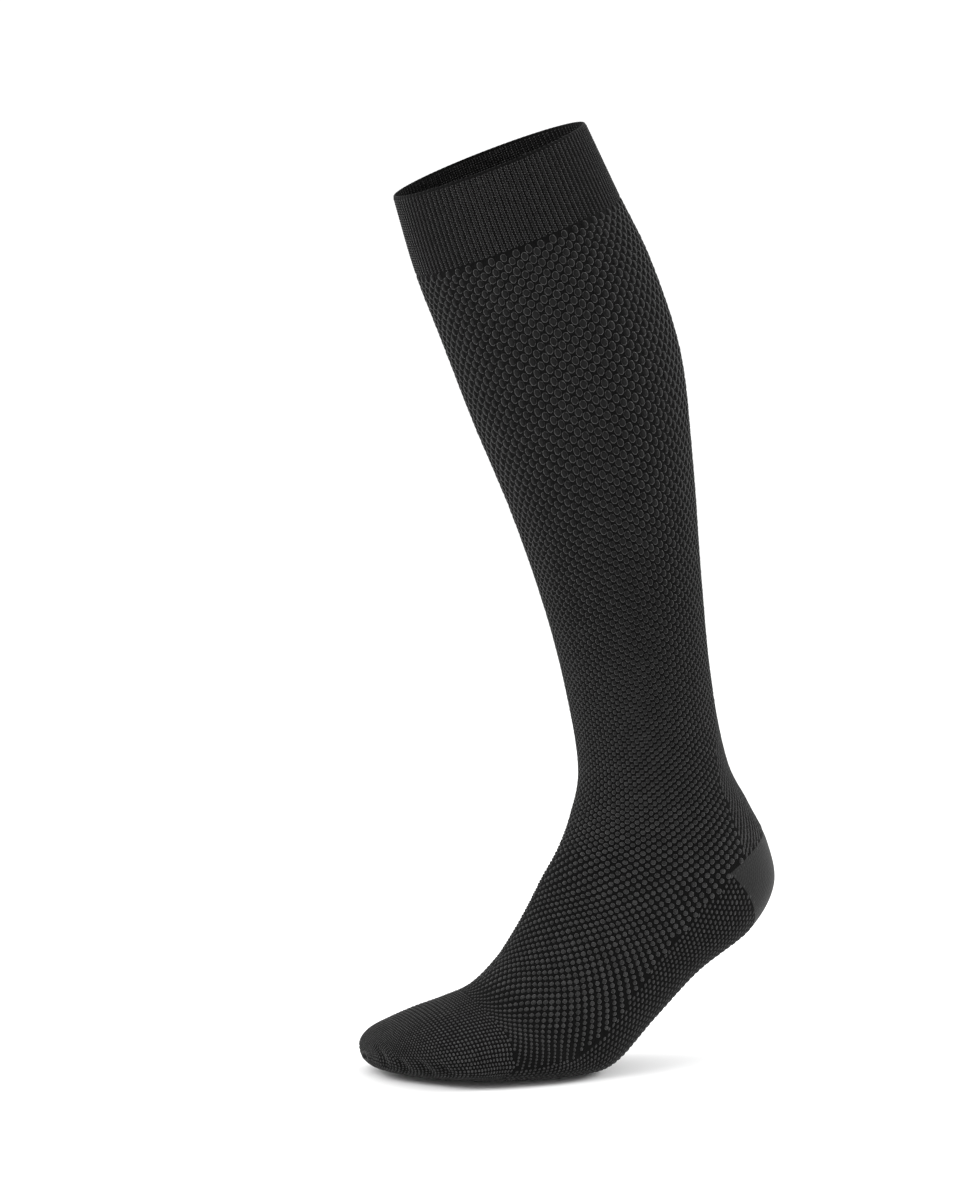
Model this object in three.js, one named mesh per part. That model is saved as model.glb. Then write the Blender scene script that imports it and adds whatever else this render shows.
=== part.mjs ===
import * as THREE from 'three';

// Knee-high compression stocking for a left foot, filled out as if worn, heel raised.
// Millimetres, +Z up, toes toward -Y, the outer side of the foot toward +X.
// The origin is the centre of the opening at the top of the cuff.

// Driving sizes
const WALL = 1.2;
const SEAM_GAP = 0.4;
const RIBS = 112;
const RIB_DEPTH = 0.45;
const CUFF_END = 1.05;
const HEEL_BACK_TOP = 8.7;
const HEEL_BACK_END = 11.1;
const HEEL_APEX = 9.6;
const HEEL_APEX_ANGLE = 0.54 * Math.PI;
const TOE_LINE_MID = 15.6;
const TOE_LINE_SLANT = 1.1;

// Cross sections from the cuff to the toe tip. Each is an oval in a plane across the leg or foot.
// front is the point on the shin or instep, back the point on the calf, heel or sole,
// split where the widest place lies between them, half the half width, shift the sideways
// offset of the middle, and square how boxy the front and back halves are, 2 being an oval.
const SECTIONS = [
  { at: 'cuff top',  front: [-46, -18.5],   back: [46, 18.5],      split: 0.50, half: 49.5, shift: 0,   square: [2.0, 2.0] },
  { at: 'cuff end',  front: [-35, -54.5],   back: [63, -15.5],     split: 0.50, half: 52.0, shift: 0,   square: [2.0, 2.0] },
  { at: 'calf top',  front: [-21.5, -88],   back: [79.5, -48],     split: 0.51, half: 54.0, shift: 0,   square: [2.0, 2.0] },
  { at: 'calf',      front: [-5, -129],     back: [94.5, -92],     split: 0.53, half: 54.0, shift: 0,   square: [2.0, 2.0] },
  { at: 'calf low',  front: [14.5, -174],   back: [101, -144],     split: 0.54, half: 50.0, shift: 0,   square: [2.0, 2.0] },
  { at: 'shin',      front: [31.5, -223],   back: [106.5, -203],   split: 0.55, half: 42.0, shift: 0,   square: [2.0, 2.0] },
  { at: 'shin low',  front: [42, -265],     back: [112.5, -253],   split: 0.55, half: 36.0, shift: 0,   square: [2.0, 2.0] },
  { at: 'ankle',     front: [47, -299],     back: [121.5, -294],   split: 0.56, half: 33.5, shift: 0,   square: [2.0, 2.0] },
  { at: 'ankle low', front: [42.5, -321],   back: [132.5, -315],   split: 0.60, half: 33.0, shift: 0,   square: [2.0, 2.0] },
  { at: 'heel top',  front: [36, -337],     back: [143.5, -336],   split: 0.64, half: 33.0, shift: 0,   square: [2.0, 2.0] },
  { at: 'heel',      front: [27.5, -351],   back: [147, -358],     split: 0.68, half: 32.5, shift: 0,   square: [2.0, 2.1] },
  { at: 'heel low',  front: [20.5, -364],   back: [134, -379.5],   split: 0.68, half: 33.0, shift: 0,   square: [2.0, 2.2] },
  { at: 'arch',      front: [12.5, -378],   back: [106, -399],     split: 0.62, half: 34.0, shift: 0,   square: [2.0, 2.4] },
  { at: 'arch low',  front: [4, -390.5],    back: [82, -421.5],    split: 0.56, half: 36.0, shift: 0,   square: [2.0, 2.6] },
  { at: 'instep',    front: [-8, -401.5],   back: [59.5, -442.5],  split: 0.55, half: 38.5, shift: 0,   square: [2.0, 2.8] },
  { at: 'ball',      front: [-20.5, -407],  back: [38, -446],      split: 0.58, half: 43.5, shift: 0,   square: [2.0, 3.0] },
  { at: 'ball low',  front: [-35, -412],    back: [3.5, -446],     split: 0.60, half: 43.5, shift: 0,   square: [2.1, 3.2] },
  { at: 'toes',      front: [-46, -417.5],  back: [-18, -445],     split: 0.60, half: 43.0, shift: -2,  square: [2.2, 3.0] },
  { at: 'toes low',  front: [-54, -423.5],  back: [-36, -445],     split: 0.56, half: 35.5, shift: -9,  square: [2.3, 2.8] },
  { at: 'toe end',   front: [-58, -429],    back: [-54, -442.5],   split: 0.52, half: 22.0, shift: -14, square: [2.2, 2.6] },
  { at: 'tip',       front: [-59, -435],    back: [-59, -439],     split: 0.50, half: 5.5,  shift: -16, square: [2.0, 2.0] },
];

// Edge of the fine sole against the instep, as an angle from the front at places along the foot.
const SOLE_EDGE = [
  { along: 9.6,  angle: 0.540 },
  { along: 10.1, angle: 0.500 },
  { along: 10.6, angle: 0.472 },
  { along: 11.2, angle: 0.474 },
  { along: 11.8, angle: 0.506 },
  { along: 12.5, angle: 0.552 },
  { along: 13.2, angle: 0.576 },
  { along: 14.0, angle: 0.558 },
  { along: 14.8, angle: 0.560 },
  { along: 15.9, angle: 0.560 },
];

// Soft creases between the toes, on the outer front edge of the toe cap.
const TOE_CREASES = [
  { name: 'first',  along: 19.00, from: 0.12, to: 0.66, deep: 1.2, broad: 0.13 },
  { name: 'second', along: 18.45, from: 0.36, to: 0.68, deep: 1.3, broad: 0.13 },
  { name: 'third',  along: 17.88, from: 0.38, to: 0.68, deep: 1.2, broad: 0.13 },
  { name: 'fourth', along: 17.37, from: 0.40, to: 0.66, deep: 1.0, broad: 0.13 },
];

// How finely each piece is divided
const HEEL_COLUMNS = [0, 0.2, 0.4, 0.6, 0.8, 0.9, 0.97];
const EDGE_ROWS = [9.95, 10.35, 10.8, 11.3, 11.8, 12.3, 12.8, 13.3, 13.8, 14.3, 14.8, 15.3];
const LEG_ROWS = 21;
const FRONT_COLUMNS = 28;
const HEEL_ROWS = 6;
const TOE_ROWS = 27;

const TURN = 2 * Math.PI;

// A smooth value between the rows of a table, for any one of its columns.
function between(values, at) {
  const last = values.length - 1;
  const i = Math.min(Math.max(Math.floor(at), 0), last - 1);
  const t = at - i;
  const b = values[i];
  const c = values[i + 1];
  const a = i > 0 ? values[i - 1] : 2 * b - c;
  const d = i < last - 1 ? values[i + 2] : 2 * c - b;
  const cubic = -a + 3 * b - 3 * c + d;
  const square = 2 * a - 5 * b + 4 * c - d;
  return 0.5 * (2 * b + (c - a) * t + square * t * t + cubic * t * t * t);
}

const COLUMN = {
  frontY: SECTIONS.map((row) => row.front[0]),
  frontZ: SECTIONS.map((row) => row.front[1]),
  backY: SECTIONS.map((row) => row.back[0]),
  backZ: SECTIONS.map((row) => row.back[1]),
  split: SECTIONS.map((row) => row.split),
  half: SECTIONS.map((row) => row.half),
  shift: SECTIONS.map((row) => row.shift),
  frontPower: SECTIONS.map((row) => row.square[0]),
  backPower: SECTIONS.map((row) => row.square[1]),
};

const TIP = SECTIONS.length - 1;

// A point of the outer surface: along counts sections from the cuff top, angle 0 is the front
// and a quarter turn the outer side.
function skin(along, angle) {
  const row = {};
  for (const key of Object.keys(COLUMN)) {
    row[key] = between(COLUMN[key], along);
  }
  const c = Math.cos(angle);
  const s = Math.sin(angle);
  const power = 2 / (c >= 0 ? row.frontPower : row.backPower);
  const forward = Math.sign(c) * Math.abs(c) ** power;
  const sideways = Math.sign(s) * Math.abs(s) ** power;
  const share = c >= 0 ? row.split : 1 - row.split;
  const middleY = row.frontY + row.split * (row.backY - row.frontY);
  const middleZ = row.frontZ + row.split * (row.backZ - row.frontZ);
  return new THREE.Vector3(
    row.shift + row.half * sideways,
    middleY + forward * share * (row.frontY - row.backY),
    middleZ + forward * share * (row.frontZ - row.backZ),
  );
}

// The outward direction at a point of the surface.
function outward(along, angle) {
  const step = 0.02;
  const low = Math.max(along - step, 0);
  const high = Math.min(along + step, TIP);
  const down = skin(high, angle).sub(skin(low, angle));
  const round = skin(along, angle + step).sub(skin(along, angle - step));
  return down.cross(round).normalize();
}

function softStep(t) {
  const k = Math.min(Math.max(t, 0), 1);
  return k * k * (3 - 2 * k);
}

// How far the cloth dips at a place on the toe cap.
function dip(along, angle) {
  let depth = 0;
  const turn = ((angle + TURN) % TURN) / Math.PI;
  for (const crease of TOE_CREASES) {
    const off = (along - crease.along) / crease.broad;
    const start = softStep((turn - crease.from) / 0.12);
    const end = softStep((crease.to - turn) / 0.12);
    depth += crease.deep * Math.exp(-off * off) * start * end;
  }
  return depth;
}

// Where the heel starts and ends, across counted 0 at the back and 1 at its side points.
function heelTop(across) {
  return HEEL_BACK_TOP + (HEEL_APEX - HEEL_BACK_TOP) * across * across;
}

function heelEnd(across) {
  return HEEL_BACK_END + (HEEL_APEX - HEEL_BACK_END) * across * across;
}

function heelAngle(across) {
  return Math.PI - across * (Math.PI - HEEL_APEX_ANGLE);
}

// The edge angle of the sole, read off its table.
function soleEdge(along) {
  const table = SOLE_EDGE;
  let i = 0;
  while (i < table.length - 2 && along > table[i + 1].along) {
    i += 1;
  }
  const t = softStep((along - table[i].along) / (table[i + 1].along - table[i].along));
  return Math.PI * (table[i].angle + t * (table[i + 1].angle - table[i].angle));
}

// The line across the foot where the toe cap starts.
function toeLine(angle) {
  return TOE_LINE_MID - TOE_LINE_SLANT * Math.cos(angle);
}

const EDGE_END = toeLine(soleEdge(15.8));
const SOLE_ROWS = [HEEL_APEX, ...EDGE_ROWS, EDGE_END];
const SOLE_HALF = [...HEEL_COLUMNS.slice(1), 1];
const SOLE_COLUMNS = [...SOLE_HALF.map((x) => -x).reverse(), 0, ...SOLE_HALF];

// The angle of a place on the sole, x counted 0 down its middle and 1 at its edges.
function soleAngle(x, edgeAlong) {
  return Math.PI + x * (Math.PI - soleEdge(edgeAlong));
}

// A place on the surface, with its outer point and outward direction.
function place(along, angle, lift = 0) {
  const out = outward(along, angle);
  const point = skin(along, angle).addScaledVector(out, lift);
  return { point, out };
}

const column = (grid, j) => grid.map((row) => row.at(j));

// Each side of a grid of places, with the line of places next to it
const SIDES = {
  top: (grid) => [grid[0], grid[1]],
  bottom: (grid) => [grid.at(-1), grid.at(-2)],
  left: (grid) => [column(grid, 0), column(grid, 1)],
  right: (grid) => [column(grid, -1), column(grid, -2)],
};

// Draws the named sides of a grid back from their seams, square to the seam, by half the gap.
// A corner between two such sides moves clear of both.
function openSeams(grid, sides) {
  const moves = new Map();
  for (const side of sides) {
    const [line, inner] = SIDES[side](grid);
    line.forEach((spot, i) => {
      const before = line[Math.max(i - 1, 0)].point;
      const after = line[Math.min(i + 1, line.length - 1)].point;
      const seam = after.clone().sub(before).normalize();
      const inward = inner[i].point.clone().sub(spot.point);
      inward.addScaledVector(seam, -inward.dot(seam)).normalize();
      const other = moves.get(spot);
      moves.set(spot, other ? mitre(other, inward) : inward);
    });
  }
  moves.forEach((move, spot) => spot.point.addScaledVector(move, SEAM_GAP / 2));
}

function mitre(a, b) {
  return a.clone().add(b).divideScalar(1 + a.dot(b));
}

// Triangles collected by vertex number.
class Body {
  constructor() {
    this.points = [];
    this.faces = [];
  }

  add(point) {
    this.points.push(point.x, point.y, point.z);
    return this.points.length / 3 - 1;
  }

  triangle(a, b, c) {
    if (a !== b && b !== c && c !== a) {
      this.faces.push(a, b, c);
    }
  }

  quad(a, b, c, d) {
    this.triangle(a, b, c);
    this.triangle(a, c, d);
  }

  geometry() {
    const shape = new THREE.BufferGeometry();
    shape.setAttribute('position', new THREE.Float32BufferAttribute(this.points, 3));
    shape.setIndex(this.faces);
    shape.computeVertexNormals();
    return shape;
  }
}

// A cloth wall over a grid of places. Rows run from the cuff toward the toes, columns from one
// side to the other. The rows of a tube join into rings, and a tip closes the last ring.
function clothWall(grid, tube, tip = null) {
  const body = new Body();
  const rows = grid.length;
  const columns = grid[0].length;
  const layer = (depth) => grid.map((row) => {
    const ids = [];
    row.forEach((spot, j) => {
      const again = tube && j === columns - 1;
      ids.push(again ? ids[0] : body.add(spot.point.clone().addScaledVector(spot.out, -depth)));
    });
    return ids;
  });
  const outer = layer(0);
  const inner = layer(WALL);
  for (let i = 0; i < rows - 1; i += 1) {
    for (let j = 0; j < columns - 1; j += 1) {
      body.quad(outer[i][j], outer[i + 1][j], outer[i + 1][j + 1], outer[i][j + 1]);
      body.quad(inner[i][j], inner[i][j + 1], inner[i + 1][j + 1], inner[i + 1][j]);
    }
    if (!tube) {
      const end = columns - 1;
      body.quad(outer[i][0], inner[i][0], inner[i + 1][0], outer[i + 1][0]);
      body.quad(outer[i][end], outer[i + 1][end], inner[i + 1][end], inner[i][end]);
    }
  }
  const last = rows - 1;
  for (let j = 0; j < columns - 1; j += 1) {
    body.quad(outer[0][j], outer[0][j + 1], inner[0][j + 1], inner[0][j]);
    if (!tip) {
      body.quad(outer[last][j], inner[last][j], inner[last][j + 1], outer[last][j + 1]);
    }
  }
  if (tip) {
    const front = body.add(tip.point);
    const behind = body.add(tip.point.clone().addScaledVector(tip.out, -WALL));
    for (let j = 0; j < columns - 1; j += 1) {
      body.triangle(outer[last][j], front, outer[last][j + 1]);
      body.triangle(inner[last][j], inner[last][j + 1], behind);
    }
  }
  return body.geometry();
}

function steps(count, from, to) {
  return Array.from({ length: count + 1 }, (_, i) => from + ((to - from) * i) / count);
}

// The cuff band, a plain ring inside with fine ribs raised outside.
function cuffBand() {
  const angles = steps(RIBS * 2, 0, TURN);
  const rows = steps(3, 0, CUFF_END);
  const grid = rows.map((along) => angles.map((angle, j) => {
    const spot = place(along, angle, j % 2 ? -RIB_DEPTH : 0);
    spot.plain = place(along, angle, -RIB_DEPTH);
    return spot;
  }));
  const plain = grid.map((row) => row.map((spot) => spot.plain));
  openSeams(grid, ['bottom']);
  openSeams(plain, ['bottom']);
  return ribbedWall(grid, plain);
}

// A closed ring whose outside follows one grid and whose inside lies a wall behind another.
function ribbedWall(grid, plain) {
  const body = new Body();
  const columns = grid[0].length - 1;
  const ring = (row, depth) => {
    const ids = row.slice(0, columns).map((spot) => (
      body.add(spot.point.clone().addScaledVector(spot.out, -depth))
    ));
    return [...ids, ids[0]];
  };
  const outer = grid.map((row) => ring(row, 0));
  const inner = plain.map((row) => ring(row, WALL - RIB_DEPTH / 2));
  const last = grid.length - 1;
  for (let j = 0; j < columns; j += 1) {
    for (let i = 0; i < last; i += 1) {
      body.quad(outer[i][j], outer[i + 1][j], outer[i + 1][j + 1], outer[i][j + 1]);
      body.quad(inner[i][j], inner[i][j + 1], inner[i + 1][j + 1], inner[i + 1][j]);
    }
    body.quad(outer[0][j], outer[0][j + 1], inner[0][j + 1], inner[0][j]);
    body.quad(outer[last][j], inner[last][j], inner[last][j + 1], outer[last][j + 1]);
  }
  return body.geometry();
}

// The leg tube, from the cuff to the ankle, where it ends above the instep and the heel pouch.
function legTube() {
  const behind = HEEL_COLUMNS.map((across) => (
    { angle: heelAngle(across), end: heelTop(across) }
  ));
  const opposite = behind.map(({ angle, end }) => ({ angle: -angle, end }));
  const front = steps(FRONT_COLUMNS, -HEEL_APEX_ANGLE, HEEL_APEX_ANGLE).map((angle) => (
    { angle, end: HEEL_APEX }
  ));
  const round = [...opposite, ...front, ...behind.reverse()];
  const grid = steps(LEG_ROWS, 0, 1).map((t) => round.map(({ angle, end }) => (
    place(CUFF_END + t * (end - CUFF_END), angle)
  )));
  openSeams(grid, ['top', 'bottom']);
  return clothWall(grid, true);
}

// The instep panel, which carries the leg's knit on over the top of the foot to the toe cap.
function instepPanel() {
  const grid = SOLE_ROWS.map((along) => {
    const edge = soleEdge(along);
    const slant = TOE_LINE_SLANT * softStep((along - 11.5) / (EDGE_END - 11.5));
    return steps(FRONT_COLUMNS, -edge, edge).map((angle) => (
      place(along - slant * (Math.cos(angle) - Math.cos(edge)), angle)
    ));
  });
  openSeams(grid, ['top', 'bottom', 'left', 'right']);
  return clothWall(grid, false);
}

// The heel pouch, a pointed cup from side to side round the back of the heel.
function heelPouch() {
  const side = HEEL_COLUMNS.slice(1);
  const across = [...side.map((t) => -t).reverse(), 0, ...side];
  const grid = steps(HEEL_ROWS, 0, 1).map((t) => across.map((x) => {
    const top = heelTop(x);
    const angle = Math.PI + x * (Math.PI - HEEL_APEX_ANGLE);
    return place(top + t * (heelEnd(x) - top), angle);
  }));
  openSeams(grid, ['top', 'bottom']);
  return clothWall(grid, false);
}

// The sole, from the heel pouch to the toe cap.
function solePanel() {
  const grid = SOLE_ROWS.map((edgeAlong) => SOLE_COLUMNS.map((x) => {
    const share = (edgeAlong - HEEL_APEX) / (EDGE_END - HEEL_APEX);
    const top = heelEnd(x);
    const end = toeLine(soleAngle(x, EDGE_END));
    return place(top + share * (end - top), soleAngle(x, edgeAlong));
  }));
  openSeams(grid, ['top', 'bottom', 'left', 'right']);
  return clothWall(grid, false);
}

// The toe cap, closed at the tip, with its soft creases.
function toeCap() {
  const edge = soleEdge(EDGE_END);
  const under = SOLE_COLUMNS.slice(1).map((x) => soleAngle(x, EDGE_END));
  const angles = [...steps(FRONT_COLUMNS, -edge, edge), ...under];
  const grid = steps(TOE_ROWS, 0, 1).map((t) => angles.map((angle) => {
    const slant = TOE_LINE_SLANT * Math.cos(angle) * (1 - t) ** 2;
    const along = TOE_LINE_MID + t * (TIP - TOE_LINE_MID) - slant;
    return place(along, angle, -dip(along, angle));
  }));
  openSeams(grid, ['top']);
  const ends = grid[TOE_ROWS].map((spot) => spot.point);
  const middle = new THREE.Vector3();
  ends.slice(1).forEach((point) => middle.add(point));
  middle.divideScalar(ends.length - 1);
  const tip = { point: middle.add(new THREE.Vector3(0, -0.3, 0)), out: new THREE.Vector3(0, -1, 0) };
  return clothWall(grid, true, tip);
}

function knit(name, geometry, color, roughness) {
  const finish = new THREE.MeshStandardMaterial({ color, roughness, metalness: 0 });
  finish.name = `${name}_knit`;
  const mesh = new THREE.Mesh(geometry, finish);
  mesh.name = name;
  return mesh;
}

const stocking = new THREE.Group();
stocking.name = 'compression_stocking';
stocking.add(knit('cuff_band', cuffBand(), 0x2f2f31, 0.88));
stocking.add(knit('leg_tube', legTube(), 0x2c2c2e, 0.9));
stocking.add(knit('instep_panel', instepPanel(), 0x2c2c2e, 0.9));
stocking.add(knit('heel_pouch', heelPouch(), 0x3e3e40, 0.84));
stocking.add(knit('sole_panel', solePanel(), 0x303032, 0.9));
stocking.add(knit('toe_cap', toeCap(), 0x313133, 0.9));

export default stocking;
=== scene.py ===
# %% [markdown]
# A knee-high compression stocking, filled out as it is on a leg, with the heel raised.
# The solids come from the CAD model and fix every size. This script dresses them: each cloth
# piece becomes a thin knitted wall, and the raised knit cells are laid on it one by one.

# %% Load the fixed frame
import math

import bmesh
import bpy
import numpy as np
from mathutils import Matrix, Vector
from mathutils.kdtree import KDTree


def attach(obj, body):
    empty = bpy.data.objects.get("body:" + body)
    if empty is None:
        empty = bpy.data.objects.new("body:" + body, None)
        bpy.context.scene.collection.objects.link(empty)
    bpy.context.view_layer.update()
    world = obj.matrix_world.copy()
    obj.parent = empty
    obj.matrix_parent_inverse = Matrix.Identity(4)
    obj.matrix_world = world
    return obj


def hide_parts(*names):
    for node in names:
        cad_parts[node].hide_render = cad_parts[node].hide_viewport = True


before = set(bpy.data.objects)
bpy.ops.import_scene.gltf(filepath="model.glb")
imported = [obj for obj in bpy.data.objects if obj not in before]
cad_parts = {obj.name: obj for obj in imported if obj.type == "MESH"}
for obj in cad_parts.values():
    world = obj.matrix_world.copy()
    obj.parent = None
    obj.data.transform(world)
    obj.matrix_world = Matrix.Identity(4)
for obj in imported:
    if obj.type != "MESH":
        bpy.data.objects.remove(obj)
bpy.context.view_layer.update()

MM = 0.001
PI = math.pi

# %% [markdown]
# The stocking follows a leg and a foot, so its shape is a row of ovals from the cuff to the
# toes. The table repeats the CAD model's sections in millimetres: the point on the shin or
# instep, the point on the calf, heel or sole, where the widest place lies between them, the
# half width, the sideways offset, and how boxy the front and back halves are.

# %% The sections of the leg and foot
SECTIONS = [
    # front y, z    back y, z        split  half  shift  square front, back
    (-46, -18.5,    46, 18.5,        0.50, 49.5,    0,   2.0, 2.0),  # cuff top
    (-35, -54.5,    63, -15.5,       0.50, 52.0,    0,   2.0, 2.0),  # cuff end
    (-21.5, -88,    79.5, -48,       0.51, 54.0,    0,   2.0, 2.0),  # calf top
    (-5, -129,      94.5, -92,       0.53, 54.0,    0,   2.0, 2.0),  # calf
    (14.5, -174,    101, -144,       0.54, 50.0,    0,   2.0, 2.0),  # calf low
    (31.5, -223,    106.5, -203,     0.55, 42.0,    0,   2.0, 2.0),  # shin
    (42, -265,      112.5, -253,     0.55, 36.0,    0,   2.0, 2.0),  # shin low
    (47, -299,      121.5, -294,     0.56, 33.5,    0,   2.0, 2.0),  # ankle
    (42.5, -321,    132.5, -315,     0.60, 33.0,    0,   2.0, 2.0),  # ankle low
    (36, -337,      143.5, -336,     0.64, 33.0,    0,   2.0, 2.0),  # heel top
    (27.5, -351,    147, -358,       0.68, 32.5,    0,   2.0, 2.1),  # heel
    (20.5, -364,    134, -379.5,     0.68, 33.0,    0,   2.0, 2.2),  # heel low
    (12.5, -378,    106, -399,       0.62, 34.0,    0,   2.0, 2.4),  # arch
    (4, -390.5,     82, -421.5,      0.56, 36.0,    0,   2.0, 2.6),  # arch low
    (-8, -401.5,    59.5, -442.5,    0.55, 38.5,    0,   2.0, 2.8),  # instep
    (-20.5, -407,   38, -446,        0.58, 43.5,    0,   2.0, 3.0),  # ball
    (-35, -412,     3.5, -446,       0.60, 43.5,    0,   2.1, 3.2),  # ball low
    (-46, -417.5,   -18, -445,       0.60, 43.0,   -2,   2.2, 3.0),  # toes
    (-54, -423.5,   -36, -445,       0.56, 35.5,   -9,   2.3, 2.8),  # toes low
    (-58, -429,     -54, -442.5,     0.52, 22.0,  -14,   2.2, 2.6),  # toe end
    (-59, -435,     -59, -439,       0.50, 5.5,   -16,   2.0, 2.0),  # tip
]
TIP = len(SECTIONS) - 1
TIP_BULGE = 0.4  # millimetres past the last section
# Places along the stocking, in sections from the cuff's top
CUFF_END = 1.05
HEEL_BACK_TOP = 8.7
HEEL_BACK_END = 11.1
HEEL_APEX = 9.6
HEEL_APEX_ANGLE = 0.54 * PI
TOE_LINE_MID = 15.6
TOE_LINE_SLANT = 1.1
SLANT_FROM = 11.5
SOLE_EDGE_LAST = 15.8

# Edge of the fine sole against the instep: sections along, and angle from the front over pi
SOLE_EDGE = [
    (9.6, 0.540), (10.1, 0.500), (10.6, 0.472), (11.2, 0.474), (11.8, 0.506),
    (12.5, 0.552), (13.2, 0.576), (14.0, 0.558), (14.8, 0.560), (15.9, 0.560),
]
# Soft creases between the toes: along, from and to over pi, deep mm, broad
TOE_CREASES = [
    (19.00, 0.12, 0.66, 1.2, 0.13),
    (18.45, 0.36, 0.68, 1.3, 0.13),
    (17.88, 0.38, 0.68, 1.2, 0.13),
    (17.37, 0.40, 0.66, 1.0, 0.13),
]
CREASE_FADE = 0.12
print(len(SECTIONS), "sections")

# %% [markdown]
# A point of the cloth has two counts: `along`, in sections from the cuff, and `angle`, from the
# shin round the outer side to the calf. `skin` turns them into a place, and `outward` gives the
# direction square to the cloth there. Both take whole arrays, which keeps thousands of knit
# cells quick. The last section is a small oval, and past it the cloth closes over the tip.

# %% The surface
TABLE = np.array(SECTIONS, dtype=float)


def between(at):
    """The table's row at a fractional section, smooth through the rows."""
    i = np.clip(np.floor(at).astype(int), 0, TIP - 1)
    t = (at - i)[..., None]
    b, c = TABLE[i], TABLE[i + 1]
    a = np.where((i > 0)[..., None], TABLE[np.maximum(i - 1, 0)], 2 * b - c)
    d = np.where((i < TIP - 1)[..., None], TABLE[np.minimum(i + 2, TIP)], 2 * c - b)
    cubic = -a + 3 * b - 3 * c + d
    square = 2 * a - 5 * b + 4 * c - d
    return 0.5 * (2 * b + (c - a) * t + square * t**2 + cubic * t**3)


def skin(along, angle):
    """Points of the cloth, in metres."""
    along, angle = np.broadcast_arrays(np.asarray(along, float), np.asarray(angle, float))
    table = between(np.minimum(along, TIP))
    fy, fz, by, bz, split, half, shift, fp, bp = np.moveaxis(table, -1, 0)
    past = np.clip(along - TIP, 0, 1) * PI / 2
    close = np.cos(past)
    c, s = np.cos(angle), np.sin(angle)
    power = 2 / np.where(c >= 0, fp, bp)
    forward = np.sign(c) * np.abs(c) ** power
    sideways = np.sign(s) * np.abs(s) ** power
    share = np.where(c >= 0, split, 1 - split)
    x = shift + half * sideways * close
    y = fy + split * (by - fy) + forward * share * close * (fy - by) - TIP_BULGE * np.sin(past)
    z = fz + split * (bz - fz) + forward * share * close * (fz - bz)
    return np.stack([x, y, z], -1) * MM


def unit(v):
    return v / np.maximum(np.linalg.norm(v, axis=-1, keepdims=True), 1e-12)


def outward(along, angle, step=0.02):
    """Directions square to the cloth, away from the leg."""
    near = np.minimum(along, TIP + 0.9)
    down = skin(near + step, angle) - skin(np.maximum(near - step, 0), angle)
    round_ = skin(near, angle + step) - skin(near, angle - step)
    return unit(np.cross(down, round_))


def soft_step(t):
    k = np.clip(t, 0, 1)
    return k * k * (3 - 2 * k)


print("cuff front", skin(0, 0), "toe tip", skin(TIP, 0))

# %% [markdown]
# The seams are curves in the same two counts. The heel pouch is a pointed lens behind the
# ankle, the sole meets the instep along a wavy edge, and the toe cap starts on a slanted line.

# %% The seam lines
def heel_top(across):
    return HEEL_BACK_TOP + (HEEL_APEX - HEEL_BACK_TOP) * across**2


def heel_end(across):
    return HEEL_BACK_END + (HEEL_APEX - HEEL_BACK_END) * across**2


def heel_angle(across):
    return PI - across * (PI - HEEL_APEX_ANGLE)


def sole_edge(along):
    table = np.array(SOLE_EDGE)
    along = np.asarray(along, float)
    i = np.clip(np.searchsorted(table[:, 0], along, side="left") - 1, 0, len(table) - 2)
    t = soft_step((along - table[i, 0]) / (table[i + 1, 0] - table[i, 0]))
    return PI * (table[i, 1] + t * (table[i + 1, 1] - table[i, 1]))


def toe_line(angle):
    return TOE_LINE_MID - TOE_LINE_SLANT * np.cos(angle)


EDGE_END = float(toe_line(sole_edge(SOLE_EDGE_LAST)))


def instep_along(along, angle):
    """A course of the instep, bent until the last one lies on the toe line."""
    slant = TOE_LINE_SLANT * soft_step((along - SLANT_FROM) / (EDGE_END - SLANT_FROM))
    return along - slant * (np.cos(angle) - np.cos(sole_edge(along)))


def dip(along, angle):
    """How far the cloth dips between the toes, in metres."""
    turn = np.mod(angle, 2 * PI) / PI
    depth = 0.0
    for at, start, end, deep, broad in TOE_CREASES:
        off = (along - at) / broad
        reach = soft_step((turn - start) / CREASE_FADE) * soft_step((end - turn) / CREASE_FADE)
        depth = depth + deep * np.exp(-off * off) * reach
    return depth * MM


print("toe line at the sole edge", round(EDGE_END, 3))

# %% [markdown]
# The camera stands where the photographer's did: well away with a long lens, slightly above
# the middle of the leg, on the outer side of the foot. The stocking stands right of the
# centre, which a small shift gives without turning the camera.

# %% Camera
CAMERA_AZIMUTH = math.radians(72)
CAMERA_ELEVATION = math.radians(4.6)
CAMERA_DISTANCE = 2.1
CAMERA_LENS = 129.15
CAMERA_SHIFT = -0.05
AIM = Vector((0, 0.026, -0.214))

away = Vector((
    math.sin(CAMERA_AZIMUTH) * math.cos(CAMERA_ELEVATION),
    -math.cos(CAMERA_AZIMUTH) * math.cos(CAMERA_ELEVATION),
    math.sin(CAMERA_ELEVATION),
))
lens_data = bpy.data.cameras.new("camera")
lens_data.lens = CAMERA_LENS
lens_data.shift_x = CAMERA_SHIFT
camera = bpy.data.objects.new("camera", lens_data)
camera.location = AIM + away * CAMERA_DISTANCE
camera.rotation_euler = away.to_track_quat("Z", "Y").to_euler()
bpy.context.collection.objects.link(camera)
bpy.context.scene.camera = camera
print("camera at", tuple(round(v, 3) for v in camera.location))

# %% [markdown]
# The photograph has a white studio with soft light from all round, which leaves one pale
# shadow under the ball of the foot. A white world gives most of it. Three large lamps, over the
# toes, past the shin and past the calf, graze the sides, so that black yarn shows its shape.

# %% Floor and lights
FLOOR_Z = -0.4462
FLOOR_REACH = 6.0
WORLD_STRENGTH = 1.1


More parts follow.
